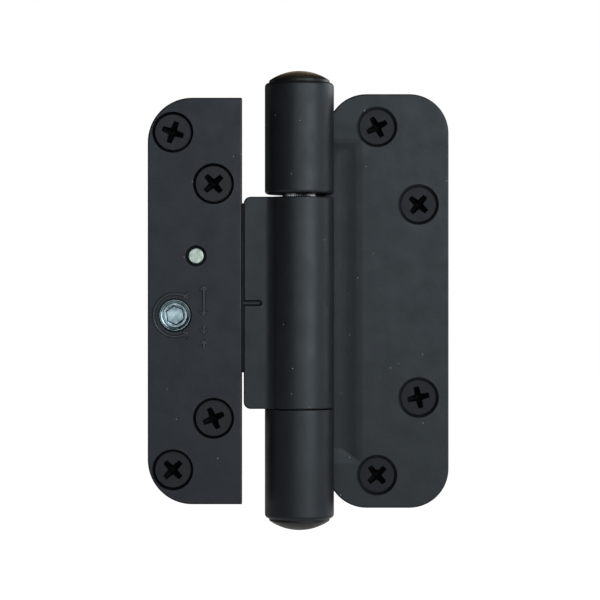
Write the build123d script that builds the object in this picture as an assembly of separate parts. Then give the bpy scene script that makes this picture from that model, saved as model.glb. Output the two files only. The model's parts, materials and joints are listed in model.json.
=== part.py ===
"""Adjustable three-knuckle door hinge, swung flat open.

+Z runs up the hinge pin, +X runs along the frame leaf, and the faces that
meet when the door shuts look towards -Y.  The origin is on the pin axis at
mid height.  Lengths are in millimetres.
"""
from build123d import *
import math
import os

# ---------------------------------------------------------------- knuckles
KNUCKLE_R = 10.5
UPPER_BARREL = (32.35, 66.1)
LOWER_BARREL = (-65.8, -32.8)
CENTRE_TOP = 31.4
CENTRE_BOTTOM = -32.5
OUTER_ROUND = 1.2          # rounding of the barrels' outer ends
INNER_ROUND = 1.0          # rounding of the upper barrel's inner end
CRISP_EDGE = 0.3           # bevel round the centre leaf's top edge
NUDGE = 1.0                # a small step that picks out or overlaps neighbouring shapes
BUSH_OUTER_R = 6.5
CAP_BORE_R = 7.7
CAP_BORE_DEPTH = 7.5

# ------------------------------------------------------------- frame leaf
FRAME_LEFT = 8.47
FRAME_RIGHT = 45.8
FRAME_HALF_HEIGHT = 63.5
FRAME_CORNER_R = 12.1
FRAME_FRONT = 6.5
FRAME_THICKNESS = 4.0
FRAME_BACK = FRAME_FRONT + FRAME_THICKNESS
WEB_HALF_HEIGHT = 50.5     # the webs behind the barrels reach this far
WEB_OVERLAP = 1.0          # how far the webs run into the plate
LIP_LEFT = 4.0             # the hollow-ground lip that reaches behind the middle knuckle
SCOOP_GAP = 0.5            # room behind the centre knuckle
RELIEF_LEFT = 6.0          # long shallow relief beside the barrels
RELIEF_FLOOR_RIGHT = 12.5
RELIEF_RIGHT = 20.4
RELIEF_DEPTH = 0.78
RELIEF_FLOOR_HALF_HEIGHT = 45.0
RELIEF_HALF_HEIGHT = 50.5
RELIEF_LEAD = 0.02         # the relief's slopes start this far in front of the face
FRAME_SCREWS = [(23.8, 53.4), (36.55, 29.6), (36.55, -29.6), (23.8, -53.4)]
FRAME_SCREW_TURNS = [28, 50, 13, 43]

# -------------------------------------------------------------- door leaf
DOOR_FRONT = -6.2          # the pad and the cover plate are flush
DOOR_THICKNESS = 6.0
DOOR_BACK = DOOR_FRONT + DOOR_THICKNESS
PAD_LEFT = -16.77
PAD_CORNER_R = 2.1
PAD_EDGE_ROUND = 0.25
PAD_COVE_R = 4.0           # cove from the pad's face into the knuckle
PAD_BACK_COVE_R = 1.5
GROOVE_Z = -0.6            # short centring groove in the pad's face
GROOVE_WIDTH = 1.8
GROOVE_LENGTH = 5.6
BAND_DEPTH = 0.06          # faint band that carries on round the knuckle
BAND_LEFT = -1.5
TONGUE_LEFT = -42.2
TONGUE_HALF_HEIGHT = 21.05
TONGUE_Z = -0.55
TONGUE_FRONT = -3.55
TONGUE_BACK = -0.55
TONGUE_CORNER_R = 3.0
SHOULDER_LEFT = -19.2      # a short step above the tongue, behind the cover's edge
SHOULDER_TOP = 29.6
SHOULDER_FRONT = -2.9

# ------------------------------------------------------------ cover plate
COVER_LEFT = -45.66
COVER_RIGHT = -17.37
COVER_HALF_HEIGHT = 61.2
COVER_CORNER_R = 13.4
POCKET_LEFT = -43.3
POCKET_FRONT = -3.6
POCKET_SIDE_GAP = 0.15
SHOULDER_POCKET_LEFT = -20.0
COVER_WELL_R = 6.2         # steep well round each screw head in the cover
COVER_WELL_FLOOR_R = 5.45
COVER_WELL_DEPTH = 2.0
COVER_HEAD_DEPTH = 0.35
COVER_SCREWS = [(-38.1, 50.8), (-25.85, 35.3), (-25.85, -35.3), (-38.1, -50.8)]
COVER_SCREW_TURNS = [70, 42, 24, 45]
PLATE_EDGE_ROUND = 0.5
BACK_EDGE_ROUND = 0.3

# ------------------------------------------- number 12 flat head screws
SCREW_LENGTH = 31.75
SCREW_HEAD_R = 5.4
SCREW_RIM = 0.25           # straight edge above the head's cone
SCREW_NECK_R = 2.95        # the neck tapers a little down to the shank
SCREW_NECK_END_R = 2.75
SCREW_SHANK_R = 2.7
SCREW_SHANK_LENGTH = 6.0
SCREW_ROOT_R = 1.95
SCREW_CREST_R = 2.7
SCREW_PITCH = 2.3
SCREW_TIP_LENGTH = 4.6
HEAD_HALF_ANGLE = 41.0
SINK_R = 6.25              # countersink radius at the frame leaf's face
SCREW_HOLE_R = 3.0
CROSS_SPAN = 6.7
CROSS_WIDTH = 1.5
CROSS_DEPTH = 2.3
CROSS_TAPER = 11.0

# ---------------------------------------------------- pin, lift and bearing
PIN_R = 4.75
PIN_TOP = 52.0
PIN_BOTTOM = -49.0
PIN_CHAMFER = 0.8
SPLINE_R = 5.15            # the pin's splined upper end, which can't turn in its bush
SPLINE_START = 31.1
COLLAR_R = 8.0
COLLAR_HEIGHT = 2.2
COLLAR_TOP = CENTRE_BOTTOM
COLLAR_BORE_R = 8.2
COLLAR_BORE_FLOOR = -36.6
RUNNING_GAP = 0.05
UPPER_BUSH = (33.3, 50.0)
LOWER_BUSH = (-48.0, COLLAR_BORE_FLOOR)
KNUCKLE_BUSH_UPPER = (12.0, 31.0)
KNUCKLE_BUSH_LOWER = (-28.3, -10.0)
BEARING_BORE_R = 8.1
BEARING_BORE_TOP = -28.5
RACE_OUTER_R = 7.8
RACE_BORE_R = 4.85
RACE_HEIGHT = 1.25
BALL_R = 1.0
BALL_COUNT = 12
BALL_CIRCLE_R = 6.3
BALL_GROOVE_R = 1.05
BALL_LEVEL = (COLLAR_TOP + BEARING_BORE_TOP) / 2
CAGE_INNER_R = 4.95
CAGE_OUTER_R = 7.7
CAGE_HEIGHT = 0.8
BUTTON_R = 4.5
BUTTON_HEIGHT = 1.5
LIFT_SCREW_R = 6.0
LIFT_SCREW_BOTTOM = -58.0
LIFT_SCREW_CHAMFER = 0.9
LIFT_HEX = 6.0
LIFT_HEX_DEPTH = 4.0
INSERT_OUTER_R = 7.5
INSERT_BORE_R = LIFT_SCREW_R + 0.06
INSERT = (LOWER_BARREL[0] + CAP_BORE_DEPTH, -49.5)

# ------------------------------------------------------------------- caps
CAP_RIM_R = 9.2
CAP_RIM_HEIGHT = 0.9
CAP_DOME_HEIGHT = 2.8
CAP_EDGE_ROUND = 0.2
CAP_STEM_R = 7.68
CAP_STEM_LENGTH = 6.5
CAP_STEM_BORE_R = 6.2

# ------------------------------------------------- adjuster and guide rivet
ADJUSTER_X = -37.46
ADJUSTER_Z = -4.28
ADJUSTER_FRONT = -5.95
ADJUSTER_HEAD_R = 4.6
ADJUSTER_HOLE_R = 4.68
ADJUSTER_MOUTH_R = 5.15    # bevelled mouth of the adjuster's hole
ADJUSTER_FLANGE_R = 5.6
FLANGE_BORE_R = 5.75
FLANGE_FRONT = -4.5
FLANGE_BACK = -4.0
ADJUSTER_EDGE = 0.35
WASHER_INNER_R = 3.65
WASHER_OUTER_R = 5.4
WASHER_BACK = -3.65
LIMIT_TURN = 60.0          # the adjuster turns this far either way
TRAVEL = 0.5               # in or out travel of the cover
THROW = TRAVEL / math.sin(math.radians(LIMIT_TURN))  # offset of the crank pin
CRANK_R = 2.6
CRANK_BACK = -0.7
CRANK_SIDE_GAP = 0.1
CRANK_END_GAP = 0.3
ADJUSTER_HEX = 5.0
ADJUSTER_HEX_DEPTH = 1.65
RIVET_X = -31.1
RIVET_Z = 13.57
RIVET_HEAD_R = 2.3
RIVET_FRONT = -5.9
RIVET_SEAT = -4.85
RIVET_HEAD_GAP = 0.05
RIVET_SHANK_R = 1.5
RIVET_TAIL_R = 2.3
RIVET_TAIL_HEIGHT = 0.7
RIVET_WELL_R = 3.2
RIVET_SLOT_GAP = 0.1

# ----------------------------------------------------- engraved direction marks
MARK_DEPTH = 0.35
MARK_WIDTH = 1.2           # the grooves that the raised lines of the marks stand in
MARK_HEAD_TIP = 0.9
MARK_HEAD_BACK = 1.5
MARK_HEAD_HALF_WIDTH = 1.8
TURN_ARC_R = 6.45
TURN_ARC_HALF_GAP = 54.0   # the arc is open towards the pin by twice this
SIGN_X = -28.8
APART_SIGN = (-4.4, 4.4)   # two arrowheads that point apart
TOGETHER_SIGN = (-14.1, -7.5)  # two arrowheads that point at each other
SIGN_TIP_GAP = 1.1


def ring_z(outer, bore, low, high):
    """A ring about the pin axis between two heights; a bore of 0 is solid."""
    middle = Pos(0, 0, (low + high) / 2)
    ring = middle * Cylinder(outer, high - low)
    if bore > 0:
        ring -= middle * Cylinder(bore, high - low)
    return ring


def rod_y(x, z, radius, front, back):
    """A cylinder along Y between two depths."""
    place = Pos(x, (front + back) / 2, z) * Rot(90, 0, 0)
    return place * Cylinder(radius, back - front)


def cone_y(x, z, front_r, back_r, depth, front):
    """A cone along Y that narrows from a plate's face."""
    place = Pos(x, front + depth / 2, z) * Rot(90, 0, 0)
    return place * Cone(back_r, front_r, depth)


def block(x_range, y_range, z_range):
    """A box between two corners."""
    centre = [(a + b) / 2 for a, b in (x_range, y_range, z_range)]
    size = [b - a for a, b in (x_range, y_range, z_range)]
    return Pos(*centre) * Box(*size)


def plate(outline, front, back):
    """An XZ outline thickened from its back depth to its front depth."""
    level = Plane(origin=(0, back, 0), x_dir=(1, 0, 0), z_dir=(0, -1, 0))
    return extrude(level * outline, back - front)


def hex_z(across_flats, low, high):
    """A hexagonal prism along Z."""
    outline = RegularPolygon(across_flats / 2, 6, major_radius=False)
    return Pos(0, 0, low) * extrude(outline, high - low)


def ends(shape):
    """The lowest and the highest face of a shape."""
    faces = shape.faces().sort_by(Axis.Z)
    return faces[0], faces[-1]


def head_slope():
    """How fast a screw head's cone grows along its axis."""
    return math.tan(math.radians(HEAD_HALF_ANGLE))


def frame_head_depth():
    """How far the frame screws' heads lie under the leaf's face."""
    return (SINK_R - SCREW_HEAD_R) / head_slope() - SCREW_RIM


def screw_hole(x, z, front, back, head_depth):
    """The cutter for one countersunk hole whose cone fits a head at the given depth."""
    mouth_r = SCREW_HEAD_R + (head_depth + SCREW_RIM) * head_slope()
    depth = (mouth_r - SCREW_HOLE_R) / head_slope()
    sink = cone_y(x, z, mouth_r, SCREW_HOLE_R, depth, front)
    return sink + rod_y(x, z, SCREW_HOLE_R, front, back)


# ------------------------------------------------------------- frame leaf
def barrel(span, sign):
    """One frame barrel between two heights, its outer end above for sign 1."""
    low, high = ends(ring_z(KNUCKLE_R, 0, *span))
    outer, inner = (high, low) if sign > 0 else (low, high)
    solid = fillet(outer.edges(), OUTER_ROUND)
    if sign < 0:
        return solid
    return fillet(ends(solid)[0].edges(), INNER_ROUND)


def easing(start, end):
    """A curve with level ends, made of two arcs, from one corner to the other."""
    middle = ((start[0] + end[0]) / 2, (start[1] + end[1]) / 2)
    return [TangentArc(start, middle, tangent=(1, 0)),
            TangentArc(end, middle, tangent=(-1, 0))]


def relief():
    """The cutter for the shallow relief, which eases out to the right and at both ends."""
    lead = -RELIEF_LEAD
    across = Polyline((RELIEF_RIGHT, lead), (RELIEF_RIGHT, -NUDGE), (RELIEF_LEFT, -NUDGE),
                      (RELIEF_LEFT, RELIEF_DEPTH), (RELIEF_FLOOR_RIGHT, RELIEF_DEPTH))
    across = make_face([across, *easing((RELIEF_FLOOR_RIGHT, RELIEF_DEPTH), (RELIEF_RIGHT, lead))])
    across = Pos(0, FRAME_FRONT, -RELIEF_HALF_HEIGHT) * extrude(across, 2 * RELIEF_HALF_HEIGHT)
    up, floor = RELIEF_HALF_HEIGHT, RELIEF_FLOOR_HALF_HEIGHT
    along = make_face([Polyline((up, lead), (up, -NUDGE), (-up, -NUDGE), (-up, lead)),
                       *easing((-up, lead), (-floor, RELIEF_DEPTH)),
                       Line((-floor, RELIEF_DEPTH), (floor, RELIEF_DEPTH)),
                       *easing((floor, RELIEF_DEPTH), (up, lead))])
    side = Plane(origin=(0, FRAME_FRONT, 0), x_dir=(0, 0, 1), z_dir=(-1, 0, 0))
    return across & extrude(side * along, -RELIEF_RIGHT)


def frame_plate():
    """The frame leaf's plate, with its webs, lip, relief and scoop."""
    width = FRAME_RIGHT - FRAME_LEFT
    outline = Pos((FRAME_LEFT + FRAME_RIGHT) / 2, 0) * RectangleRounded(
        width, 2 * FRAME_HALF_HEIGHT, FRAME_CORNER_R)
    web_width = FRAME_LEFT + 2 * WEB_OVERLAP
    for low, high in ((UPPER_BARREL[0], WEB_HALF_HEIGHT), (-WEB_HALF_HEIGHT, LOWER_BARREL[1])):
        web = Rectangle(web_width, high - low, align=(Align.MIN, Align.MIN))
        outline += Pos(-WEB_OVERLAP, low) * web
    lip = Rectangle(FRAME_LEFT + WEB_OVERLAP - LIP_LEFT, UPPER_BARREL[0] - LOWER_BARREL[1],
                    align=(Align.MIN, Align.MIN))
    outline += Pos(LIP_LEFT, LOWER_BARREL[1]) * lip
    solid = plate(outline, FRAME_FRONT, FRAME_BACK)
    front_edges = solid.faces().sort_by(Axis.Y)[0].outer_wire().edges()
    solid = fillet(front_edges.filter_by(right_of_webs), PLATE_EDGE_ROUND)
    back_edges = solid.faces().sort_by(Axis.Y)[-1].outer_wire().edges()
    solid = fillet(back_edges.filter_by(right_of_webs), BACK_EDGE_ROUND)
    return solid - relief() - ring_z(KNUCKLE_R + SCOOP_GAP, 0, LOWER_BARREL[1], UPPER_BARREL[0])


def right_of_webs(edge):
    """Whether an edge belongs to the plate's own outline."""
    return edge.center().X > FRAME_LEFT + NUDGE


def frame_leaf():
    """Plate and both barrels, cast as one piece."""
    solid = frame_plate() + barrel(UPPER_BARREL, 1) + barrel(LOWER_BARREL, -1)
    top, bottom = UPPER_BARREL[1], LOWER_BARREL[0]
    solid -= ring_z(BUSH_OUTER_R, 0, UPPER_BARREL[0], top)
    solid -= ring_z(CAP_BORE_R, 0, top - CAP_BORE_DEPTH, top)
    solid -= ring_z(COLLAR_BORE_R, 0, COLLAR_BORE_FLOOR, LOWER_BARREL[1])
    solid -= ring_z(BUSH_OUTER_R, 0, INSERT[1], COLLAR_BORE_FLOOR)
    solid -= ring_z(INSERT_OUTER_R, 0, INSERT[0], INSERT[1])
    solid -= ring_z(CAP_BORE_R, 0, bottom, bottom + CAP_BORE_DEPTH)
    for x, z in FRAME_SCREWS:
        solid -= screw_hole(x, z, FRAME_FRONT, FRAME_BACK, frame_head_depth())
    return solid


# -------------------------------------------------------------- door leaf
def centre_body():
    """Knuckle and pad as one extrusion, with the coves between them."""
    pad = Rectangle(-PAD_LEFT, DOOR_THICKNESS, align=(Align.MIN, Align.MIN))
    outline = Circle(KNUCKLE_R) + Pos(PAD_LEFT, DOOR_FRONT) * pad
    joints = outline.vertices().filter_by(lambda v: PAD_LEFT + NUDGE < v.X < -KNUCKLE_R / 2)
    front = joints.sort_by(Axis.Y)[0]
    outline = fillet(front, PAD_COVE_R)
    joints = outline.vertices().filter_by(lambda v: abs(v.Y - DOOR_BACK) < CRISP_EDGE)
    outline = fillet(joints.sort_by(Axis.X)[-1], PAD_BACK_COVE_R)
    solid = Pos(0, 0, CENTRE_BOTTOM) * extrude(outline, CENTRE_TOP - CENTRE_BOTTOM)
    corners = solid.edges().filter_by(Axis.Y).filter_by(lambda e: e.center().X < PAD_LEFT + NUDGE)
    solid = fillet(corners, PAD_CORNER_R)
    solid = chamfer(ends(solid)[1].edges(), CRISP_EDGE)
    left = solid.edges().filter_by(lambda e: e.center().X < PAD_LEFT + PAD_CORNER_R / 2)
    front_left = left.filter_by(lambda e: abs(e.center().Y - DOOR_FRONT) < CRISP_EDGE / 2)
    return fillet(front_left, PAD_EDGE_ROUND)


def tongue():
    """The flat tongue that reaches into the cover plate's pocket."""
    root = PAD_LEFT + NUDGE
    reach = root - TONGUE_LEFT
    outline = Pos(TONGUE_LEFT + reach / 2, TONGUE_Z) * Rectangle(reach, 2 * TONGUE_HALF_HEIGHT)
    outline = fillet(outline.vertices().sort_by(Axis.X)[:2], TONGUE_CORNER_R)
    shoulder = block((SHOULDER_LEFT, root), (SHOULDER_FRONT, TONGUE_BACK), (TONGUE_Z, SHOULDER_TOP))
    return plate(outline, TONGUE_FRONT, TONGUE_BACK) + shoulder


def crank_slot():
    """The upright slot in the tongue that the adjuster's crank pin works in."""
    half_width = CRANK_R + CRANK_SIDE_GAP
    low = THROW * math.cos(math.radians(LIMIT_TURN)) - CRANK_END_GAP
    high = THROW + CRANK_END_GAP
    outline = Pos(ADJUSTER_X, ADJUSTER_Z + (low + high) / 2) * Rot(0, 0, 90) * SlotOverall(
        high - low + 2 * half_width, 2 * half_width)
    return plate(outline, TONGUE_FRONT, TONGUE_BACK)


def centring_groove():
    """The short round-bottomed groove in the pad's face."""
    straight = GROOVE_LENGTH - GROOVE_WIDTH / 2
    along = Pos(PAD_LEFT + straight / 2, DOOR_FRONT, GROOVE_Z) * Rot(0, 90, 0)
    groove = along * Cylinder(GROOVE_WIDTH / 2, straight)
    return groove + Pos(PAD_LEFT + straight, DOOR_FRONT, GROOVE_Z) * Sphere(GROOVE_WIDTH / 2)


def knuckle_band():
    """The faint band round the front of the centre knuckle, level with the groove."""
    low, high = GROOVE_Z - GROOVE_WIDTH / 2, GROOVE_Z + GROOVE_WIDTH / 2
    band = ring_z(KNUCKLE_R + NUDGE, KNUCKLE_R - BAND_DEPTH, low, high)
    return band & block((BAND_LEFT, FRAME_LEFT), (-KNUCKLE_R, 0), (low, high))


def centre_leaf():
    """Centre knuckle, pad and tongue in one piece."""
    solid = centre_body() + tongue()
    solid -= ring_z(BUSH_OUTER_R, 0, CENTRE_BOTTOM, CENTRE_TOP)
    solid -= ring_z(BEARING_BORE_R, 0, CENTRE_BOTTOM, BEARING_BORE_TOP)
    solid -= centring_groove()
    solid -= knuckle_band()
    solid -= crank_slot()
    solid -= rod_y(RIVET_X, RIVET_Z, RIVET_SHANK_R, TONGUE_FRONT, TONGUE_BACK)
    solid -= rod_y(RIVET_X, RIVET_Z, RIVET_TAIL_R, TONGUE_BACK - RIVET_TAIL_HEIGHT, TONGUE_BACK)
    return solid


# ------------------------------------------------------------ cover plate
def arrowhead(sign):
    """A flat arrowhead that points up for sign 1; the origin is where its lines meet."""
    tip, back = sign * MARK_HEAD_TIP, -sign * MARK_HEAD_BACK
    points = [(0, tip), (-MARK_HEAD_HALF_WIDTH, back), (MARK_HEAD_HALF_WIDTH, back)]
    return make_face(Polyline(*points, close=True))


def shaft(low, high):
    """The straight line of an arrow."""
    return Pos(0, (low + high) / 2) * Rectangle(MARK_WIDTH, high - low)


def turn_mark():
    """The open ring with an arrowhead at each end, round the adjuster."""
    band = Circle(TURN_ARC_R + MARK_WIDTH / 2) - Circle(TURN_ARC_R - MARK_WIDTH / 2)
    reach = 2 * TURN_ARC_R
    rise = reach * math.tan(math.radians(TURN_ARC_HALF_GAP))
    band -= make_face(Polyline((0, 0), (reach, rise), (reach, -rise), close=True))
    for sign in (-1, 1):
        band += Rot(0, 0, sign * TURN_ARC_HALF_GAP) * Pos(TURN_ARC_R, 0) * arrowhead(-sign)
    return Pos(ADJUSTER_X, ADJUSTER_Z) * band


def apart_mark():
    """Two arrowheads that point apart, joined by a line."""
    low, high = APART_SIGN
    mark = shaft(low, high) + Pos(0, high) * arrowhead(1) + Pos(0, low) * arrowhead(-1)
    return Pos(SIGN_X, 0) * mark


def together_mark():
    """Two short arrows that point at each other."""
    low, high = TOGETHER_SIGN
    middle = (low + high) / 2
    upper, lower = middle + SIGN_TIP_GAP, middle - SIGN_TIP_GAP
    mark = shaft(upper, high) + Pos(0, upper) * arrowhead(-1)
    mark += shaft(low, lower) + Pos(0, lower) * arrowhead(1)
    return Pos(SIGN_X, 0) * mark


def rivet_seat():
    """The round well for the rivet's head, and the slot its shank slides in."""
    well = rod_y(RIVET_X, RIVET_Z, RIVET_WELL_R, DOOR_FRONT, RIVET_SEAT)
    width = 2 * (RIVET_SHANK_R + RIVET_SLOT_GAP)
    slot = Pos(RIVET_X, RIVET_Z) * SlotOverall(width + 2 * TRAVEL, width)
    return well + plate(slot, RIVET_SEAT, POCKET_FRONT)


def cover_plate():
    """The plate that is screwed to the door and hides the tongue."""
    width = COVER_RIGHT - COVER_LEFT
    outline = Pos((COVER_LEFT + COVER_RIGHT) / 2, 0) * Rectangle(width, 2 * COVER_HALF_HEIGHT)
    outline = fillet(outline.vertices().sort_by(Axis.X)[:2], COVER_CORNER_R)
    solid = plate(outline, DOOR_FRONT, DOOR_BACK)
    solid = fillet(solid.faces().sort_by(Axis.Y)[0].edges(), PLATE_EDGE_ROUND)
    solid = fillet(solid.faces().sort_by(Axis.Y)[-1].edges(), BACK_EDGE_ROUND)
    half_pocket = TONGUE_HALF_HEIGHT + POCKET_SIDE_GAP
    solid -= block((POCKET_LEFT, COVER_RIGHT), (POCKET_FRONT, DOOR_BACK),
                   (TONGUE_Z - half_pocket, TONGUE_Z + half_pocket))
    solid -= block((SHOULDER_POCKET_LEFT, COVER_RIGHT), (POCKET_FRONT, DOOR_BACK),
                   (TONGUE_Z, SHOULDER_TOP + POCKET_SIDE_GAP))
    solid -= rod_y(ADJUSTER_X, ADJUSTER_Z, ADJUSTER_HOLE_R, DOOR_FRONT, POCKET_FRONT)
    solid -= rod_y(ADJUSTER_X, ADJUSTER_Z, FLANGE_BORE_R, FLANGE_FRONT, POCKET_FRONT)
    solid -= cone_y(ADJUSTER_X, ADJUSTER_Z, ADJUSTER_MOUTH_R, ADJUSTER_HOLE_R,
                    ADJUSTER_MOUTH_R - ADJUSTER_HOLE_R, DOOR_FRONT)
    solid -= rivet_seat()
    for mark in (turn_mark(), apart_mark(), together_mark()):
        solid -= plate(mark, DOOR_FRONT, DOOR_FRONT + MARK_DEPTH)
    for x, z in COVER_SCREWS:
        solid -= screw_hole(x, z, DOOR_FRONT, DOOR_BACK, COVER_HEAD_DEPTH)
        solid -= cone_y(x, z, COVER_WELL_R, COVER_WELL_FLOOR_R, COVER_WELL_DEPTH, DOOR_FRONT)
    return solid


# ----------------------------------------------------------------- screws
def screw(step_depth):
    """A flat head wood screw along -Z; its shank starts at the step depth."""
    cone_end = SCREW_RIM + (SCREW_HEAD_R - SCREW_NECK_R) / head_slope()
    thread_start = step_depth + SCREW_SHANK_LENGTH
    thread_end = SCREW_LENGTH - SCREW_TIP_LENGTH
    turns = int((thread_end - thread_start) / SCREW_PITCH)
    points = [(0, 0), (SCREW_HEAD_R, 0), (SCREW_HEAD_R, -SCREW_RIM), (SCREW_NECK_R, -cone_end),
              (SCREW_NECK_END_R, -step_depth), (SCREW_SHANK_R, -step_depth),
              (SCREW_SHANK_R, -thread_start), (SCREW_ROOT_R, -thread_start)]
    for turn in range(turns):
        top = thread_start + turn * SCREW_PITCH
        points.append((SCREW_CREST_R, -top - SCREW_PITCH / 2))
        points.append((SCREW_ROOT_R, -top - SCREW_PITCH))
    points.append((0, -SCREW_LENGTH))
    outline = make_face(Plane.XZ * Polyline(*points, close=True))
    solid = revolve(outline, Axis.Z)
    cross = Rectangle(CROSS_SPAN, CROSS_WIDTH) + Rectangle(CROSS_WIDTH, CROSS_SPAN)
    return solid - extrude(cross, -CROSS_DEPTH, taper=CROSS_TAPER)


def placed_screws(places, turns, front, back, head_depth):
    """Screws seated in one plate's countersinks."""
    template = screw(back - front - head_depth)
    return [Pos(x, front + head_depth, z) * Rot(90, 0, 0) * Rot(0, 0, turn) * template
            for (x, z), turn in zip(places, turns)]


# ---------------------------------------------------- pin, lift and bearing
def hinge_pin():
    """The pin, with the collar that carries the centre leaf."""
    pin = ring_z(PIN_R, 0, PIN_BOTTOM, SPLINE_START) + ring_z(SPLINE_R, 0, SPLINE_START, PIN_TOP)
    for end in ends(pin):
        pin = chamfer(end.edges(), PIN_CHAMFER)
    return pin + ring_z(COLLAR_R, 0, COLLAR_TOP - COLLAR_HEIGHT, COLLAR_TOP)


def bush(span, pin_r=PIN_R):
    """A plain bearing bush round the pin between two heights."""
    return ring_z(BUSH_OUTER_R, pin_r + RUNNING_GAP, span[0], span[1])


def ball_track():
    """The ring that cuts a ball groove into each race."""
    return Pos(0, 0, BALL_LEVEL) * Torus(BALL_CIRCLE_R, BALL_GROOVE_R)


def race(low):
    """One grooved race of the thrust bearing."""
    return ring_z(RACE_OUTER_R, RACE_BORE_R, low, low + RACE_HEIGHT) - ball_track()


def around_pin(radius, shape):
    """Copies of a shape, one at each ball's place."""
    step = 360 / BALL_COUNT
    return [Rot(0, 0, i * step) * Pos(radius, 0, BALL_LEVEL) * shape for i in range(BALL_COUNT)]


def ball_cage():
    """The ring that keeps the balls apart."""
    half = CAGE_HEIGHT / 2
    cage = ring_z(CAGE_OUTER_R, CAGE_INNER_R, BALL_LEVEL - half, BALL_LEVEL + half)
    for hole in around_pin(BALL_CIRCLE_R, Cylinder(BALL_GROOVE_R, CAGE_HEIGHT)):
        cage -= hole
    return cage


def height_screw():
    """The socket screw under the pin that raises and lowers it."""
    top = PIN_BOTTOM - BUTTON_HEIGHT
    solid = ring_z(LIFT_SCREW_R, 0, LIFT_SCREW_BOTTOM, top)
    solid = chamfer(solid.edges().filter_by(GeomType.CIRCLE), LIFT_SCREW_CHAMFER)
    return solid - hex_z(LIFT_HEX, LIFT_SCREW_BOTTOM, LIFT_SCREW_BOTTOM + LIFT_HEX_DEPTH)


def cap(seat, sign):
    """A domed cap on a barrel's end, its dome upwards for sign 1 and downwards for -1."""
    dome_base = CAP_RIM_R - CAP_EDGE_ROUND
    dome_top = CAP_RIM_HEIGHT + CAP_DOME_HEIGHT
    dome_r = (dome_base**2 + CAP_DOME_HEIGHT**2) / (2 * CAP_DOME_HEIGHT)
    half_angle = math.asin(dome_base / dome_r) / 2
    mid_x = dome_r * math.sin(half_angle)
    mid_z = dome_top - dome_r * (1 - math.cos(half_angle))
    outline = Polyline((dome_base, CAP_RIM_HEIGHT), (CAP_RIM_R, CAP_RIM_HEIGHT - CAP_EDGE_ROUND),
                       (CAP_RIM_R, 0), (CAP_STEM_R, 0),
                       (CAP_STEM_R, -CAP_STEM_LENGTH), (CAP_STEM_BORE_R, -CAP_STEM_LENGTH),
                       (CAP_STEM_BORE_R, 0), (0, 0), (0, dome_top))
    outline += ThreePointArc((0, dome_top), (mid_x, mid_z), (dome_base, CAP_RIM_HEIGHT))
    solid = revolve(make_face(Plane.XZ * outline), Axis.Z)
    return Pos(0, 0, seat) * (solid if sign > 0 else Rot(180, 0, 0) * solid)


# ------------------------------------------------- adjuster and guide rivet
def adjuster():
    """The turning adjuster: socket head, flange and offset crank pin."""
    head = rod_y(0, 0, ADJUSTER_HEAD_R, ADJUSTER_FRONT, FLANGE_FRONT)
    head = chamfer(head.faces().sort_by(Axis.Y)[0].edges(), ADJUSTER_EDGE)
    head += rod_y(0, 0, ADJUSTER_FLANGE_R, FLANGE_FRONT, FLANGE_BACK)
    head += rod_y(0, THROW, CRANK_R, FLANGE_BACK, CRANK_BACK)
    socket = Rot(90, 0, 0) * hex_z(ADJUSTER_HEX, 0, ADJUSTER_HEX_DEPTH)
    socket = Pos(0, ADJUSTER_FRONT + ADJUSTER_HEX_DEPTH, 0) * socket
    return Pos(ADJUSTER_X, 0, ADJUSTER_Z) * (head - socket)


def adjuster_washer():
    """The friction washer between the adjuster's flange and the tongue."""
    ring = rod_y(ADJUSTER_X, ADJUSTER_Z, WASHER_OUTER_R, FLANGE_BACK, WASHER_BACK)
    return ring - rod_y(ADJUSTER_X, ADJUSTER_Z, WASHER_INNER_R, FLANGE_BACK, WASHER_BACK)


def guide_rivet():
    """The rivet staked in the tongue; its head keeps the cover on."""
    head_back = RIVET_SEAT - RIVET_HEAD_GAP
    solid = rod_y(RIVET_X, RIVET_Z, RIVET_HEAD_R, RIVET_FRONT, head_back)
    solid = fillet(solid.faces().sort_by(Axis.Y)[0].edges(), BACK_EDGE_ROUND)
    solid += rod_y(RIVET_X, RIVET_Z, RIVET_SHANK_R, head_back, TONGUE_BACK)
    tail_front = TONGUE_BACK - RIVET_TAIL_HEIGHT
    return solid + rod_y(RIVET_X, RIVET_Z, RIVET_TAIL_R, tail_front, TONGUE_BACK)


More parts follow.
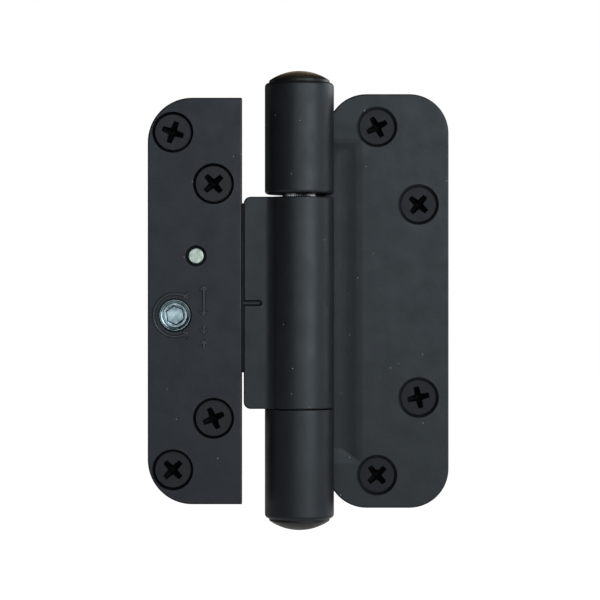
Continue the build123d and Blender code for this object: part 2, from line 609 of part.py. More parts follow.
def all_parts():
    """Every separate piece by its name."""
    parts = {
        "frame_leaf": frame_leaf(),
        "upper_bush": bush(UPPER_BUSH, SPLINE_R),
        "lower_bush": bush(LOWER_BUSH),
        "thread_insert": ring_z(INSERT_OUTER_R, INSERT_BORE_R, *INSERT),
        "upper_cap": cap(UPPER_BARREL[1], 1),
        "lower_cap": cap(LOWER_BARREL[0], -1),
        "hinge_pin": hinge_pin(),
        "lower_race": race(COLLAR_TOP),
        "bearing_balls": Compound(children=around_pin(BALL_CIRCLE_R, Sphere(BALL_R))),
        "ball_cage": ball_cage(),
        "thrust_button": ring_z(BUTTON_R, 0, PIN_BOTTOM - BUTTON_HEIGHT, PIN_BOTTOM),
        "height_screw": height_screw(),
        "centre_leaf": centre_leaf(),
        "knuckle_bush_upper": bush(KNUCKLE_BUSH_UPPER),
        "knuckle_bush_lower": bush(KNUCKLE_BUSH_LOWER),
        "upper_race": race(BEARING_BORE_TOP - RACE_HEIGHT),
        "guide_rivet": guide_rivet(),
        "cover_plate": cover_plate(),
        "adjuster": adjuster(),
        "adjuster_washer": adjuster_washer(),
    }
    frame_screws = placed_screws(
        FRAME_SCREWS, FRAME_SCREW_TURNS, FRAME_FRONT, FRAME_BACK, frame_head_depth())
    cover_screws = placed_screws(
        COVER_SCREWS, COVER_SCREW_TURNS, DOOR_FRONT, DOOR_BACK, COVER_HEAD_DEPTH)
    for number, solid in enumerate(frame_screws, 1):
        parts[f"frame_screw_{number}"] = solid
    for number, solid in enumerate(cover_screws, 1):
        parts[f"cover_screw_{number}"] = solid
    return parts


os.makedirs("parts", exist_ok=True)
for node, solid in all_parts().items():
    export_step(solid, f"parts/{node}.step")
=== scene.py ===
"""The looks of the adjustable door hinge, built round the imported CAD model. Lengths are in metres."""
import json
import math

import bmesh
import bpy
from mathutils import Matrix, Vector

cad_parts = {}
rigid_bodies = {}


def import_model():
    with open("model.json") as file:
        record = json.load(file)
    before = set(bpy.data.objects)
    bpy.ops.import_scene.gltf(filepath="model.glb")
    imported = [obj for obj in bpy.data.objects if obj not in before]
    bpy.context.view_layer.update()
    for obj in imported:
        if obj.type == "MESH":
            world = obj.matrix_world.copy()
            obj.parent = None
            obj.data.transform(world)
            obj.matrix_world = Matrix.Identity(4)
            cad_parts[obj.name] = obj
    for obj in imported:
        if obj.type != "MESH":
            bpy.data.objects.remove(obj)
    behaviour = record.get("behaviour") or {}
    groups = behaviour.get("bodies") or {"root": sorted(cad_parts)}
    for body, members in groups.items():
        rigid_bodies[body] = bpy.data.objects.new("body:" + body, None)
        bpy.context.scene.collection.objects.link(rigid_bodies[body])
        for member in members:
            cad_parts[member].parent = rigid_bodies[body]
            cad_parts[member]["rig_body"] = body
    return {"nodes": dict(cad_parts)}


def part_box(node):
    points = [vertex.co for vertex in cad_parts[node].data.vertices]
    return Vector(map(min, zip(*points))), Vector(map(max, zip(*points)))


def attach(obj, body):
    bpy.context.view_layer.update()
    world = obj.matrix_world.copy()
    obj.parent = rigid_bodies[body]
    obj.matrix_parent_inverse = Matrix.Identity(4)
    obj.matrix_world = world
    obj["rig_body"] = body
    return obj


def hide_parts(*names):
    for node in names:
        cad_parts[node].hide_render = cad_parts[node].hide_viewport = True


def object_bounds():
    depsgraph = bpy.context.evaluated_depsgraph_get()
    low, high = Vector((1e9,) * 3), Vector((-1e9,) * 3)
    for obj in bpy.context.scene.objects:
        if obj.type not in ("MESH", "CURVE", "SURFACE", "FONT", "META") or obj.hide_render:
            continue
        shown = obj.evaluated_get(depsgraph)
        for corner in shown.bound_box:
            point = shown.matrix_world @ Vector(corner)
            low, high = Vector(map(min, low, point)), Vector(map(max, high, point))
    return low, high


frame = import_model()
cad_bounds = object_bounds()

MM = 0.001

# Camera: straight on to the faces that meet when the door shuts
CAMERA_X = 0.18 * MM
CAMERA_Z = 0.3 * MM
CAMERA_DISTANCE = 651 * MM
CAMERA_LENS = 128.6
SENSOR_WIDTH = 36.0
FLOOR_GLOW = 0.14          # lifts the undersides, as a large white table does
FLOOR_DROP = 30 * MM       # the floor lies this far under the lower cap

# Softboxes that stand in a half circle: azimuth, 0 on the camera's side and 90 at +X, and radiance
STRIP_LIGHTS = ((-28, 0.08), (-4, 1.25), (18, 1.75), (40, 3.55), (64, 0.7), (90, 0.8), (112, 1.4),
                (128, 2.1))
STRIP_DISTANCE = 1.2
STRIP_WIDTH = 0.56
STRIP_HEIGHT = 1.6
WHITE = (1, 1, 1)
WARM = (1.0, 0.78, 0.5)
# Softboxes behind and above: name, azimuth, elevation, distance, width, height, radiance, colour
OTHER_LIGHTS = (
    ("right_back_softbox", 155, 0, 1.4, 0.8, 1.2, 0.5, WHITE),
    ("left_back_softbox", 232, 0, 1.4, 0.8, 1.2, 0.12, WHITE),
    ("top_softbox", 150, 70, 1.4, 1.0, 0.8, 0.3, WARM),
    ("crest_softbox", 180, 30, 1.4, 0.35, 0.5, 1.1, WARM),
)

# White surroundings
WORLD_COLOUR = (0.9, 0.95, 1.0, 1)
WORLD_STRENGTH = 0.015
WORLD_WHITE_SHARE = 1.0
WORLD_WHITE_STRENGTH = 1.0
FLOOR_SIZE = 8
FLOOR_CUTS = 4
FLOOR_ROUGHNESS = 0.9
FLOOR_WHITE_SHARE = 0.9
FLOOR_WHITE_STRENGTH = 1.11

# Screws: the way each driver cross is turned, seen from the front
CROSS_TURNS = {
    "cover_screw_1": 70, "cover_screw_2": 42, "cover_screw_3": 24, "cover_screw_4": 45,
    "frame_screw_1": 28, "frame_screw_2": 50, "frame_screw_3": 13, "frame_screw_4": 43,
}
HEAD_R = 5.4 * MM
HEAD_RIM = 0.25 * MM
HEAD_EDGE = 0.12 * MM
HEAD_HALF_ANGLE = math.radians(41)
NECK_R = 2.7 * MM
SHANK_END = 11.0 * MM
THREAD_PITCH = 2.3 * MM
THREAD_ROOT_R = 1.95 * MM
THREAD_CREST_R = 2.68 * MM
THREAD_SHARPNESS = 3
TIP_LENGTH = 5.0 * MM
TURN_STEPS = 48
SCREW_SHARP_ANGLE = 24
THREAD_LEAD_IN = 0.5 * MM
THREAD_TIP_SHARE = 0.03    # the tip keeps this share of the thread's radius
STEPS_PER_PITCH = 12
CROSS_HALF_SPAN = 3.3 * MM
CROSS_HALF_WIDTH = 0.70 * MM
CROSS_DEPTH = 3.2 * MM
CROSS_WEB = 1.35           # how far the corners between the wings are cut back
CROSS_LEVELS = ((-0.05, 1.04, 1.16), (0.05, 1.0, 1.0), (0.5, 0.88, 0.88), (1.0, 0.16, 0.25))

# Adjuster: radius and depth in millimetres of the turned rings round its socket
ADJUSTER_PROFILE = ((0.05, 0.25), (2.6, 0.25), (3.06, 0.05), (3.14, 0.05), (3.2, 0.14), (3.56, 0.14),
                    (3.6, 0.7), (3.78, 0.7), (3.82, 0.17), (4.2, 0.0), (4.25, 0.04), (4.28, 0.9),
                    (4.42, 0.9), (4.45, 0.16), (4.58, 0.16), (4.6, 1.45), (5.6, 1.45), (5.6, 1.95),
                    (0.05, 1.95))
SOCKET_FLATS = 5.35 * MM
SOCKET_FLOOR_SHARE = 0.86  # the drawn socket narrows a little towards its floor
SOCKET_DEPTH = 1.3 * MM
SOCKET_TURN = math.radians(7)
RING_R = 3.4 * MM          # the turned grooves lie outside this radius
GROOVE_SHADE = 0.3 * MM    # and their faces under this depth get painted shade
WALL_STEEPNESS = 0.4       # a face whose normal points less than this out of the head is a wall; the socket's walls get painted shade
FLANGE_R = 5.6 * MM
CRANK_R = 2.6 * MM
CRANK_THROW = 0.577 * MM
CRANK_LENGTH = 3.3 * MM
CRANK_TIP_R = 0.05 * MM
ADJUSTER_STEPS = 96
ADJUSTER_SHARP_ANGLE = 28

# Raised lines of the cover's marks
RIDGE_R = 0.34 * MM
RIDGE_SINK = 0.12 * MM
RIDGE_HEAD = 0.95 * MM
TURN_ARC_R = 6.45 * MM
TURN_ARC_HALF_GAP = math.radians(54)
SIGN_X = -28.8 * MM
MARK_ARROWS = ((0, 4.4 * MM), (0, -4.4 * MM), (-7.5 * MM, -9.7 * MM), (-14.1 * MM, -11.9 * MM))

# Well round the guide rivet
RIVET_WELL_R = 3.3 * MM
WELL_LIP = 0.1 * MM

# Hinge pin
PIN_R = 4.75 * MM
SPLINE_R = 5.15 * MM
SPLINE_START = 31.1 * MM
SPLINE_CHAMFER = 0.8 * MM
SPLINE_TEETH = 46
SPLINE_DEPTH = 0.3 * MM
COLLAR_R = 8.0 * MM
COLLAR_TOP = -32.5 * MM
COLLAR_BOTTOM = -34.7 * MM
PIN_TIP_R = 0.3 * MM
STEPS_PER_TOOTH = 6

COOL = (0.76, 0.89, 1.0, 1.0)      # tints of the coatings' highlights
DULL = (0.58, 0.64, 0.72, 1.0)
DULLER = (0.44, 0.50, 0.58, 1.0)
SHADE = (0.10, 0.11, 0.13, 1.0)    # painted shade for the insides of the driver crosses
COVER_TINT = (0.76, 0.86, 1.0, 1.0)
CAP_TINT = (0.50, 0.55, 0.60, 1.0)
# painted shade inside the well round the guide rivet
WELL_SHADE = (0.22, 0.27, 0.30, 1.0)
DUST_SCALE = 400           # dust specks: cells per metre, radius in cells and share of cells with one
DUST_RADIUS = 0.055
DUST_SHARE = 0.2
DUST_COLOUR = (206, 210, 212)
DENT_SCALE = 180           # unevenness of the casting, and the finer grain of the coating
DENT_DEPTH = 0.09 * MM
GRAIN_SCALE = 1500
GRAIN_DEPTH = 0.007 * MM
METAL_GRAIN_SCALE = 2500
METAL_GRAIN_DEPTH = 0.006 * MM


# ---------------------------------------------------------------- materials
def srgb(red, green, blue):
    """A linear colour from 0 to 255 display values."""
    def linear(value):
        value /= 255
        return value / 12.92 if value <= 0.04045 else ((value + 0.055) / 1.055) ** 2.4
    return (linear(red), linear(green), linear(blue), 1.0)


class Shader:
    """A new material with a Principled shader and helpers that add and wire nodes."""

    def __init__(self, name, metallic, specular_tint=(1, 1, 1, 1)):
        self.material = bpy.data.materials.new(name)
        self.material.use_nodes = True
        self.tree = self.material.node_tree
        self.surface = self.tree.nodes["Principled BSDF"]
        self.surface.inputs["Metallic"].default_value = metallic
        self.surface.inputs["Specular Tint"].default_value = specular_tint
        self.place = self.add("ShaderNodeTexCoord").outputs["Object"]

    def add(self, kind, **settings):
        node = self.tree.nodes.new(kind)
        for key, value in settings.items():
            setattr(node, key, value)
        return node

    def link(self, source, target):
        self.tree.links.new(source, target)

    def noise(self, scale, detail=3.0, rough=0.5, stretch=(1, 1, 1)):
        """Noise over the object's own coordinates, in features per metre."""
        mapping = self.add("ShaderNodeMapping")
        mapping.inputs["Scale"].default_value = stretch
        self.link(self.place, mapping.inputs["Vector"])
        node = self.add("ShaderNodeTexNoise")
        node.inputs["Scale"].default_value = scale
        node.inputs["Detail"].default_value = detail
        node.inputs["Roughness"].default_value = rough
        self.link(mapping.outputs["Vector"], node.inputs["Vector"])
        return node.outputs["Fac"]

    def spread(self, value, low, high, out_low, out_high):
        node = self.add("ShaderNodeMapRange")
        for socket, number in (("From Min", low), ("From Max", high),
                               ("To Min", out_low), ("To Max", out_high)):
            node.inputs[socket].default_value = number
        self.link(value, node.inputs["Value"])
        return node.outputs["Result"]

    def mix(self, factor, first, second):
        """A colour between two, each a colour or a socket."""
        node = self.add("ShaderNodeMix", data_type="RGBA")
        self.link(factor, node.inputs["Factor"])
        for socket, colour in ((node.inputs[6], first), (node.inputs[7], second)):
            if isinstance(colour, tuple):
                socket.default_value = colour
            else:
                self.link(colour, socket)
        return node.outputs[2]

    def specks(self, scale, radius, share):
        """Tiny round specks: 1 inside a speck and 0 elsewhere."""
        cells = self.add("ShaderNodeTexVoronoi")
        cells.inputs["Scale"].default_value = scale
        self.link(self.place, cells.inputs["Vector"])
        near = self.spread(cells.outputs["Distance"], radius * 0.5, radius, 1.0, 0.0)
        pick = self.add("ShaderNodeSeparateColor")
        self.link(cells.outputs["Color"], pick.inputs["Color"])
        chosen = self.add("ShaderNodeMath", operation="LESS_THAN")
        chosen.inputs[1].default_value = share
        self.link(pick.outputs["Red"], chosen.inputs[0])
        both = self.add("ShaderNodeMath", operation="MULTIPLY")
        self.link(near, both.inputs[0])
        self.link(chosen.outputs[0], both.inputs[1])
        return both.outputs[0]

    def relief(self, height, depth, under=None):
        """The normals of a height in metres, over those of a coarser one."""
        node = self.add("ShaderNodeBump")
        node.inputs["Distance"].default_value = depth
        self.link(height, node.inputs["Height"])
        if under:
            self.link(under, node.inputs["Normal"])
        return node.outputs["Normal"]

    def dents(self, scale, depth):
        """Shallow unevenness of the casting."""
        return self.relief(self.noise(scale, detail=4.0, rough=0.6), depth)

    def bump(self, height, depth, under=None):
        self.link(self.relief(height, depth, under), self.surface.inputs["Normal"])

    def colour(self, value):
        self.link(value, self.surface.inputs["Base Color"])

    def roughness(self, value):
        self.link(value, self.surface.inputs["Roughness"])


def coating(name, dark, light, rough, tint=COOL):
    """Satin near-black coating on cast metal: faint mottling, fine orange peel and dust."""
    shader = Shader(name, metallic=0.0, specular_tint=tint)
    blotch = shader.spread(shader.noise(90, detail=4.0), 0.35, 0.65, 0.0, 1.0)
    base = shader.mix(blotch, dark, light)
    dust = shader.specks(DUST_SCALE, DUST_RADIUS, DUST_SHARE)
    shader.colour(shader.mix(dust, base, srgb(*DUST_COLOUR)))
    shader.roughness(shader.spread(shader.noise(160, detail=5.0), 0.3, 0.7, rough - 0.07, rough + 0.08))
    under = shader.dents(DENT_SCALE, DENT_DEPTH)
    shader.bump(shader.noise(GRAIN_SCALE, detail=4.0, rough=0.6), GRAIN_DEPTH, under)
    return shader.material


def bright_metal(name, dark, light, rough, stretch=(1, 1, 1)):
    """Bare or plated metal with fine, slightly directed marks."""
    shader = Shader(name, metallic=1.0)
    shade = shader.spread(shader.noise(500, detail=5.0, stretch=stretch), 0.3, 0.7, 0.0, 1.0)
    shader.colour(shader.mix(shade, dark, light))
    shader.roughness(shader.spread(shader.noise(900, stretch=stretch), 0.3, 0.7, rough - 0.06, rough + 0.08))
    shader.bump(shader.noise(METAL_GRAIN_SCALE, detail=3.0, stretch=stretch), METAL_GRAIN_DEPTH)
    return shader.material


def dress(names, material):
    for name in names:
        slots = frame["nodes"][name].data.materials
        slots.clear()
        slots.append(material)


def shade_well(node, centre_x, centre_z, radius, material):
    """Gives the inside of a round well in a node's front face its own material, which paints shade there."""
    mesh = frame["nodes"][node].data
    mesh.materials.append(material)
    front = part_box(node)[0].y
    for face in mesh.polygons:
        away = math.hypot(face.center.x - centre_x, face.center.z - centre_z)
        if away < radius and face.center.y > front + WELL_LIP:
            face.material_index = 1


# ------------------------------------------------------------------- meshes
def new_piece(name, mesh_builder, material, smooth_angle=40):
    """A mesh object from a bmesh, shaded smooth except over sharp edges."""
    mesh = bpy.data.meshes.new(name)
    bmesh.ops.recalc_face_normals(mesh_builder, faces=mesh_builder.faces)
    mesh_builder.to_mesh(mesh)
    mesh_builder.free()
    mesh.materials.append(material)
    piece = bpy.data.objects.new(name, mesh)
    bpy.context.scene.collection.objects.link(piece)
    mesh.shade_smooth()
    mesh.set_sharp_from_angle(angle=math.radians(smooth_angle))
    return piece


def lathe(rings, radius_at, steps=TURN_STEPS):
    """A closed body of revolution; radius_at(depth, angle) may vary round the axis."""
    builder = bmesh.new()
    rows = []
    for ring in rings:
        row = []
        for i in range(steps):
            angle = 2 * math.pi * i / steps
            radius = radius_at(ring, angle)
            row.append(builder.verts.new((radius * math.cos(angle), radius * math.sin(angle), ring[1])))
        rows.append(row)
    for upper, lower in zip(rows, rows[1:]):
        for i in range(steps):
            j = (i + 1) % steps
            builder.faces.new((upper[i], upper[j], lower[j], lower[i]))
    for row in (rows[0], rows[-1]):
        builder.faces.new(row)
    return builder


def prism(outlines):
    """A closed solid through outlines of equal length, each a list of (x, y, z)."""
    builder = bmesh.new()
    rows = [[builder.verts.new(point) for point in outline] for outline in outlines]
    count = len(rows[0])
    for upper, lower in zip(rows, rows[1:]):
        for i in range(count):
            j = (i + 1) % count
            builder.faces.new((upper[i], upper[j], lower[j], lower[i]))
    builder.faces.new(rows[0])
    builder.faces.new(rows[-1])
    return builder


def cut(piece, cutter):
    """Takes the cutter's solid out of a piece and removes the cutter."""
    modifier = piece.modifiers.new("cut", "BOOLEAN")
    modifier.operation = "DIFFERENCE"
    modifier.solver = "EXACT"
    modifier.object = cutter
    graph = bpy.context.evaluated_depsgraph_get()
    result = bpy.data.meshes.new_from_object(piece.evaluated_get(graph))
    piece.modifiers.clear()
    piece.data = result
    bpy.data.objects.remove(cutter)


def cross_outline(half_span, half_width, depth):
    """The twelve corners of a driver cross at one depth."""
    corners = []
    for quarter in range(4):
        turn = Matrix.Rotation(quarter * math.pi / 2, 3, "Z")
        web = half_width * CROSS_WEB
        for x, y in ((web, web), (half_span, half_width), (half_span, -half_width)):
            point = turn @ Vector((x, y, -depth))
            corners.append(point)
    order = []
    for quarter in range(4):
        inner, tip_low, tip_high = corners[3 * quarter:3 * quarter + 3]
        order += [tip_high, tip_low, inner]
    return order


def cross_cutter(material):
    """A number 3 cross recess: tapered wings with a flared mouth and a pointed floor."""
    def level(share, span_share, width_share):
        return cross_outline(CROSS_HALF_SPAN * span_share, CROSS_HALF_WIDTH * width_share,
                             CROSS_DEPTH * share)
    return new_piece("cross_cutter", prism([level(*shares) for shares in CROSS_LEVELS]), material)


def screw_rings(length):
    """(radius, height, threadedness) down the screw from the middle of its head."""
    cone_top = -HEAD_RIM
    cone_end = cone_top - (HEAD_R - NECK_R) / math.tan(HEAD_HALF_ANGLE)
    rings = [(HEAD_R * 0.02, 0, 0), (HEAD_R * 0.5, 0, 0), (HEAD_R - HEAD_EDGE, 0, 0),
             (HEAD_R, -HEAD_EDGE, 0), (HEAD_R, cone_top, 0), (NECK_R, cone_end, 0),
             (NECK_R, -SHANK_END + THREAD_LEAD_IN, 0)]
    thread_length = length - SHANK_END
    steps = int(thread_length / THREAD_PITCH * STEPS_PER_PITCH)
    for i in range(steps + 1):
        down = SHANK_END + thread_length * i / steps
        to_tip = max(min((length - down) / TIP_LENGTH, 1.0), THREAD_TIP_SHARE)
        rings.append((THREAD_ROOT_R * to_tip, -down, to_tip))
    return rings


def threaded_radius(ring, angle):
    """The plain radius above the thread, and root plus ridge along it."""
    radius, height, thread = ring
    if not thread:
        return radius
    phase = (-height / THREAD_PITCH + angle / (2 * math.pi)) % 1.0
    ridge = (1 - abs(2 * phase - 1)) ** THREAD_SHARPNESS
    start = min((-height - SHANK_END) / THREAD_PITCH, 1.0)
    return radius + (THREAD_CREST_R - THREAD_ROOT_R) * ridge * thread * start


def make_screw(node, turn, material, painted_shade_material):
    """A wood screw in place of its plain CAD solid, on the same seat and axis."""
    low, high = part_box(node)
    rings = screw_rings(high.y - low.y)
    name = node.replace("screw", "wood_screw")
    piece = new_piece(name, lathe(rings, threaded_radius), material)
    cut(piece, cross_cutter(material))
    piece.data.set_sharp_from_angle(angle=math.radians(SCREW_SHARP_ANGLE))
    # painted shade: the faces inside the driver cross get the dark recess material
    piece.data.materials.append(painted_shade_material)
    for face in piece.data.polygons:
        below_face = -CROSS_DEPTH - HEAD_EDGE < face.center.z < -HEAD_EDGE / 2
        if below_face and face.center.xy.length < CROSS_HALF_SPAN:
            face.material_index = 1
    centre = (low + high) / 2
    place = Matrix.Translation((centre.x, low.y, centre.z))
    piece.matrix_world = place @ Matrix.Rotation(math.pi / 2, 4, "X") @ Matrix.Rotation(turn, 4, "Z")
    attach(piece, frame["nodes"][node]["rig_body"])
    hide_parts(node)


def make_adjuster(material, shaded_material):
    """The adjuster with its turned rings, chamfered socket and crank pin."""
    low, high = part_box("adjuster")
    centre = (low + high) / 2
    axis_z = centre.z - (high.z - low.z - 2 * FLANGE_R) / 2
    rings = [(radius * MM, -depth * MM) for radius, depth in ADJUSTER_PROFILE]
    piece = new_piece("adjuster_head", lathe(rings, lambda ring, angle: ring[0], ADJUSTER_STEPS), material,
                      ADJUSTER_SHARP_ANGLE)
    half = SOCKET_FLATS / math.sqrt(3)
    outline = [(math.cos(i * math.pi / 3), math.sin(i * math.pi / 3)) for i in range(6)]
    levels = ((1 / SOCKET_FLOOR_SHARE, SOCKET_DEPTH), (1.0, 0), (SOCKET_FLOOR_SHARE, -SOCKET_DEPTH))
    cutter = new_piece("socket_cutter", prism(
        [[(x * half * share, y * half * share, z) for x, y in outline] for share, z in levels]), material)
    cutter.matrix_world = Matrix.Rotation(math.pi / 2 + SOCKET_TURN, 4, "Z")
    bpy.context.view_layer.update()
    cut(piece, cutter)
    piece.data.set_sharp_from_angle(angle=math.radians(ADJUSTER_SHARP_ANGLE))
    # painted shade: deep groove faces and the socket's walls get the darker zinc
    piece.data.materials.append(shaded_material)
    for face in piece.data.polygons:
        in_groove = face.center.z < -GROOVE_SHADE and face.center.xy.length > RING_R
        socket_wall = face.center.xy.length < RING_R and abs(face.normal.z) < WALL_STEEPNESS
        if in_groove or socket_wall:
            face.material_index = 1
    piece.matrix_world = Matrix.Translation((centre.x, low.y, axis_z)) @ Matrix.Rotation(math.pi / 2, 4, "X")
    crank_rings = [(CRANK_TIP_R, 0), (CRANK_R, 0), (CRANK_R, -CRANK_LENGTH), (CRANK_TIP_R, -CRANK_LENGTH)]
    crank = new_piece("adjuster_crank", lathe(crank_rings, lambda ring, angle: ring[0]), material)
    crank.matrix_world = Matrix.Translation((centre.x, high.y - CRANK_LENGTH, axis_z + CRANK_THROW)) \
        @ Matrix.Rotation(math.pi / 2, 4, "X")
    for part in (piece, crank):
        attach(part, "in_out_adjuster")
        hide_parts("adjuster")


def make_marks(material):
    """The raised lines of the cover's generic marks: a turning arrow, arrows apart, arrows together."""
    curve = bpy.data.curves.new("mark_lines", "CURVE")
    curve.dimensions = "3D"
    curve.bevel_depth = RIDGE_R
    curve.bevel_resolution = 4
    curve.use_fill_caps = True
    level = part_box("cover_plate")[0].y + RIDGE_SINK
    low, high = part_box("adjuster")
    centre = (low + high) / 2
    hub = Vector((centre.x, centre.z))

    def line(points):
        spline = curve.splines.new("POLY")
        spline.points.add(len(points) - 1)
        for place, point in zip(spline.points, points):
            place.co = (point.x, level, point.y, 1)

    def arrowhead(tip, way):
        side = Vector((way.y, -way.x))
        line([tip - RIDGE_HEAD * (way + side), tip, tip - RIDGE_HEAD * (way - side),
              tip - RIDGE_HEAD * (way + side)])

    def on_arc(angle):
        return hub + TURN_ARC_R * Vector((math.cos(angle), math.sin(angle)))

    span = 2 * math.pi - 2 * TURN_ARC_HALF_GAP
    line([on_arc(TURN_ARC_HALF_GAP + span * i / TURN_STEPS) for i in range(TURN_STEPS + 1)])
    for sign in (-1, 1):
        angle = sign * TURN_ARC_HALF_GAP
        arrowhead(on_arc(angle), sign * Vector((math.sin(angle), -math.cos(angle))))

    up = Vector((0, 1))
    for start, end in MARK_ARROWS:
        way = up if end > start else -up
        line([Vector((SIGN_X, start)), Vector((SIGN_X, end))])
        arrowhead(Vector((SIGN_X, end)), way)

    holder = bpy.data.objects.new("mark_lines", curve)
    bpy.context.scene.collection.objects.link(holder)
    graph = bpy.context.evaluated_depsgraph_get()
    mesh = bpy.data.meshes.new_from_object(holder.evaluated_get(graph))
    bpy.data.objects.remove(holder)
    mesh.materials.clear()
    mesh.materials.append(material)
    mesh.shade_smooth()
    piece = bpy.data.objects.new("direction_marks", mesh)
    bpy.context.scene.collection.objects.link(piece)
    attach(piece, "cover")


def make_pin(dark_material, bright_material):
    """The pin with its splined upper end, whose teeth show in the gap under the upper barrel."""
    low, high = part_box("hinge_pin")
    rings = [(PIN_TIP_R, high.z), (SPLINE_R - SPLINE_CHAMFER, high.z), (SPLINE_R, high.z - SPLINE_CHAMFER),
             (SPLINE_R, SPLINE_START), (PIN_R, SPLINE_START), (PIN_R, COLLAR_TOP), (COLLAR_R, COLLAR_TOP),
             (COLLAR_R, COLLAR_BOTTOM), (PIN_R, COLLAR_BOTTOM), (PIN_R, low.z + SPLINE_CHAMFER),
             (PIN_R - SPLINE_CHAMFER, low.z), (PIN_TIP_R, low.z)]

    def radius_at(ring, angle):
        tooth = 0.5 + 0.5 * math.cos(angle * SPLINE_TEETH)
        return ring[0] - (SPLINE_DEPTH * tooth if ring[0] == SPLINE_R else 0)

    pin = new_piece("splined_pin", lathe(rings, radius_at, SPLINE_TEETH * STEPS_PER_TOOTH), dark_material)
    pin.data.materials.append(bright_material)
    for face in pin.data.polygons:
        if face.center.z > SPLINE_START:
            face.material_index = 1
    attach(pin, "pin_lift")
    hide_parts("hinge_pin")


# ------------------------------------------------------------------- studio
def area_light(name, azimuth, elevation, distance, width, height, radiance, colour=WHITE):
    """A softbox that faces the object; azimuth 0 is the camera's side and 90 is +X."""
    light = bpy.data.lights.new(name, "AREA")
    light.shape = "RECTANGLE"
    light.size = width
    light.size_y = height
    light.energy = radiance * math.pi * width * height
    light.color = colour
    lamp = bpy.data.objects.new(name, light)
    lamp.visible_camera = False
    turn, lift = math.radians(azimuth), math.radians(elevation)
    way = Vector((math.sin(turn) * math.cos(lift), -math.cos(turn) * math.cos(lift), math.sin(lift)))
    lamp.location = way * distance
    lamp.rotation_euler = way.to_track_quat("Z", "Y").to_euler()
    bpy.context.scene.collection.objects.link(lamp)


def white_to_camera(tree, shader_socket, target, share, strength):
    """Shows mostly plain white to the camera and the given shader to everything else."""
    on_world = target.node.type == "OUTPUT_WORLD"
    white = tree.nodes.new("ShaderNodeBackground" if on_world else "ShaderNodeEmission")
    white.inputs["Color"].default_value = (1, 1, 1, 1)
    white.inputs["Strength"].default_value = strength
    path = tree.nodes.new("ShaderNodeLightPath")
    scale = tree.nodes.new("ShaderNodeMath")
    scale.operation = "MULTIPLY"
    scale.inputs[1].default_value = share
    mix = tree.nodes.new("ShaderNodeMixShader")
    tree.links.new(path.outputs["Is Camera Ray"], scale.inputs[0])
    tree.links.new(scale.outputs[0], mix.inputs["Fac"])
    tree.links.new(shader_socket, mix.inputs[1])
    tree.links.new(white.outputs[0], mix.inputs[2])
    tree.links.new(mix.outputs[0], target)


def make_studio():
    """Pale floor, white surroundings, softboxes and the camera."""
    scene = bpy.context.scene
    scene.view_settings.view_transform = "Standard"
    world = bpy.data.worlds.new("studio")
    scene.world = world
    world.use_nodes = True
    back = world.node_tree.nodes["Background"]
    back.inputs["Color"].default_value = WORLD_COLOUR
    back.inputs["Strength"].default_value = WORLD_STRENGTH
    output = world.node_tree.nodes["World Output"].inputs[0]
    white_to_camera(world.node_tree, back.outputs[0], output, WORLD_WHITE_SHARE, WORLD_WHITE_STRENGTH)

    bpy.ops.mesh.primitive_grid_add(size=FLOOR_SIZE, x_subdivisions=FLOOR_CUTS, y_subdivisions=FLOOR_CUTS,
                                    location=(0, 0, cad_bounds[0][2] - FLOOR_DROP))
    floor = bpy.context.object
    floor.name = "floor"
    pale = bpy.data.materials.new("pale_floor")
    pale.use_nodes = True
    surface = pale.node_tree.nodes["Principled BSDF"]
    surface.inputs["Base Color"].default_value = srgb(236, 236, 234)
    surface.inputs["Roughness"].default_value = FLOOR_ROUGHNESS
    surface.inputs["Emission Color"].default_value = (1, 1, 1, 1)
    surface.inputs["Emission Strength"].default_value = FLOOR_GLOW
    output = pale.node_tree.nodes["Material Output"].inputs["Surface"]
    white_to_camera(pale.node_tree, surface.outputs[0], output, FLOOR_WHITE_SHARE, FLOOR_WHITE_STRENGTH)
    floor.data.materials.append(pale)

    for azimuth, radiance in STRIP_LIGHTS:
        area_light(f"strip_softbox_{azimuth}", azimuth, 0, STRIP_DISTANCE, STRIP_WIDTH, STRIP_HEIGHT,
                   radiance)
    for settings in OTHER_LIGHTS:
        area_light(*settings)

    camera_data = bpy.data.cameras.new("camera")
    camera_data.lens = CAMERA_LENS
    camera_data.sensor_width = SENSOR_WIDTH
    camera = bpy.data.objects.new("camera", camera_data)
    camera.location = (CAMERA_X, -CAMERA_DISTANCE, CAMERA_Z)
    camera.rotation_euler = (math.pi / 2, 0, 0)
    scene.collection.objects.link(camera)
    scene.camera = camera


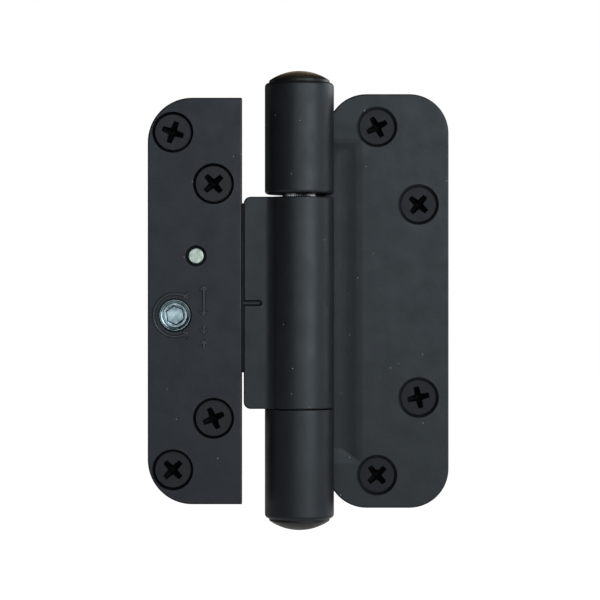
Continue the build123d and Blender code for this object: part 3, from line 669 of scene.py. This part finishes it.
# --------------------------------------------------------------------- build
leaf_black = coating("leaf_coating", srgb(15, 17, 19), srgb(20, 22, 24), 0.42)
cover_black = coating("cover_coating", srgb(14, 16, 19), srgb(19, 21, 25), 0.45, COVER_TINT)
cap_black = coating("cap_coating", srgb(17, 16, 16), srgb(22, 20, 19), 0.38, CAP_TINT)
screw_black = coating("screw_oxide", srgb(12, 12, 13), srgb(18, 18, 19), 0.42, DULL)
frame_screw_black = coating("frame_screw_oxide", srgb(12, 12, 13), srgb(18, 18, 19), 0.42, DULLER)
# painted shade: a dark coating for the insides of the driver crosses
recess_painted_shade = coating("recess_shade", srgb(9, 9, 10), srgb(13, 13, 14), 0.6, SHADE)
# painted shade: a dark coating for the inside of the well round the guide rivet
well_painted_shade = coating("well_shade", srgb(14, 17, 18), srgb(20, 23, 24), 0.6, WELL_SHADE)
# painted highlight: the raised lines of the marks are coloured lighter than the cover's coating
mark_painted_highlight = coating("mark_highlight_coating", srgb(44, 46, 49), srgb(58, 60, 62), 0.35)
zinc_bright = bright_metal("bright_zinc", srgb(84, 110, 120), srgb(178, 200, 208), 0.27)
# painted shade: a darker copy of the bright zinc for the adjuster's grooves and socket walls
zinc_painted_shade = bright_metal("shaded_zinc", srgb(40, 50, 54), srgb(66, 78, 82), 0.45)
zinc_dull = bright_metal("dull_zinc", srgb(158, 176, 170), srgb(222, 238, 230), 0.60)
ground_steel = bright_metal("ground_steel", srgb(120, 120, 122), srgb(180, 180, 182), 0.28, (1, 1, 8))
dark_steel = bright_metal("dark_steel", srgb(30, 30, 32), srgb(52, 52, 54), 0.40)
tooth_steel = bright_metal("tooth_steel", srgb(66, 68, 70), srgb(140, 142, 144), 0.24)
bronze = bright_metal("sintered_bronze", srgb(120, 92, 56), srgb(168, 134, 86), 0.5)

dress(["frame_leaf", "centre_leaf"], leaf_black)
dress(["cover_plate"], cover_black)
dress(["upper_cap", "lower_cap"], cap_black)
dress(["hinge_pin", "lower_race", "upper_race", "bearing_balls", "thrust_button", "height_screw",
       "adjuster_washer"], ground_steel)
dress(["upper_bush", "lower_bush", "knuckle_bush_upper", "knuckle_bush_lower", "thread_insert",
       "ball_cage"], bronze)
dress(["guide_rivet"], zinc_dull)
dress(["adjuster"], zinc_bright)
rivet_low, rivet_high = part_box("guide_rivet")
shade_well("cover_plate", (rivet_low.x + rivet_high.x) / 2, (rivet_low.z + rivet_high.z) / 2,
           RIVET_WELL_R, well_painted_shade)

for screw_node, degrees in CROSS_TURNS.items():
    oxide = frame_screw_black if screw_node.startswith("frame") else screw_black
    make_screw(screw_node, math.radians(degrees), oxide, recess_painted_shade)
make_adjuster(zinc_bright, zinc_painted_shade)
make_pin(dark_steel, tooth_steel)
make_marks(mark_painted_highlight)

make_studio()
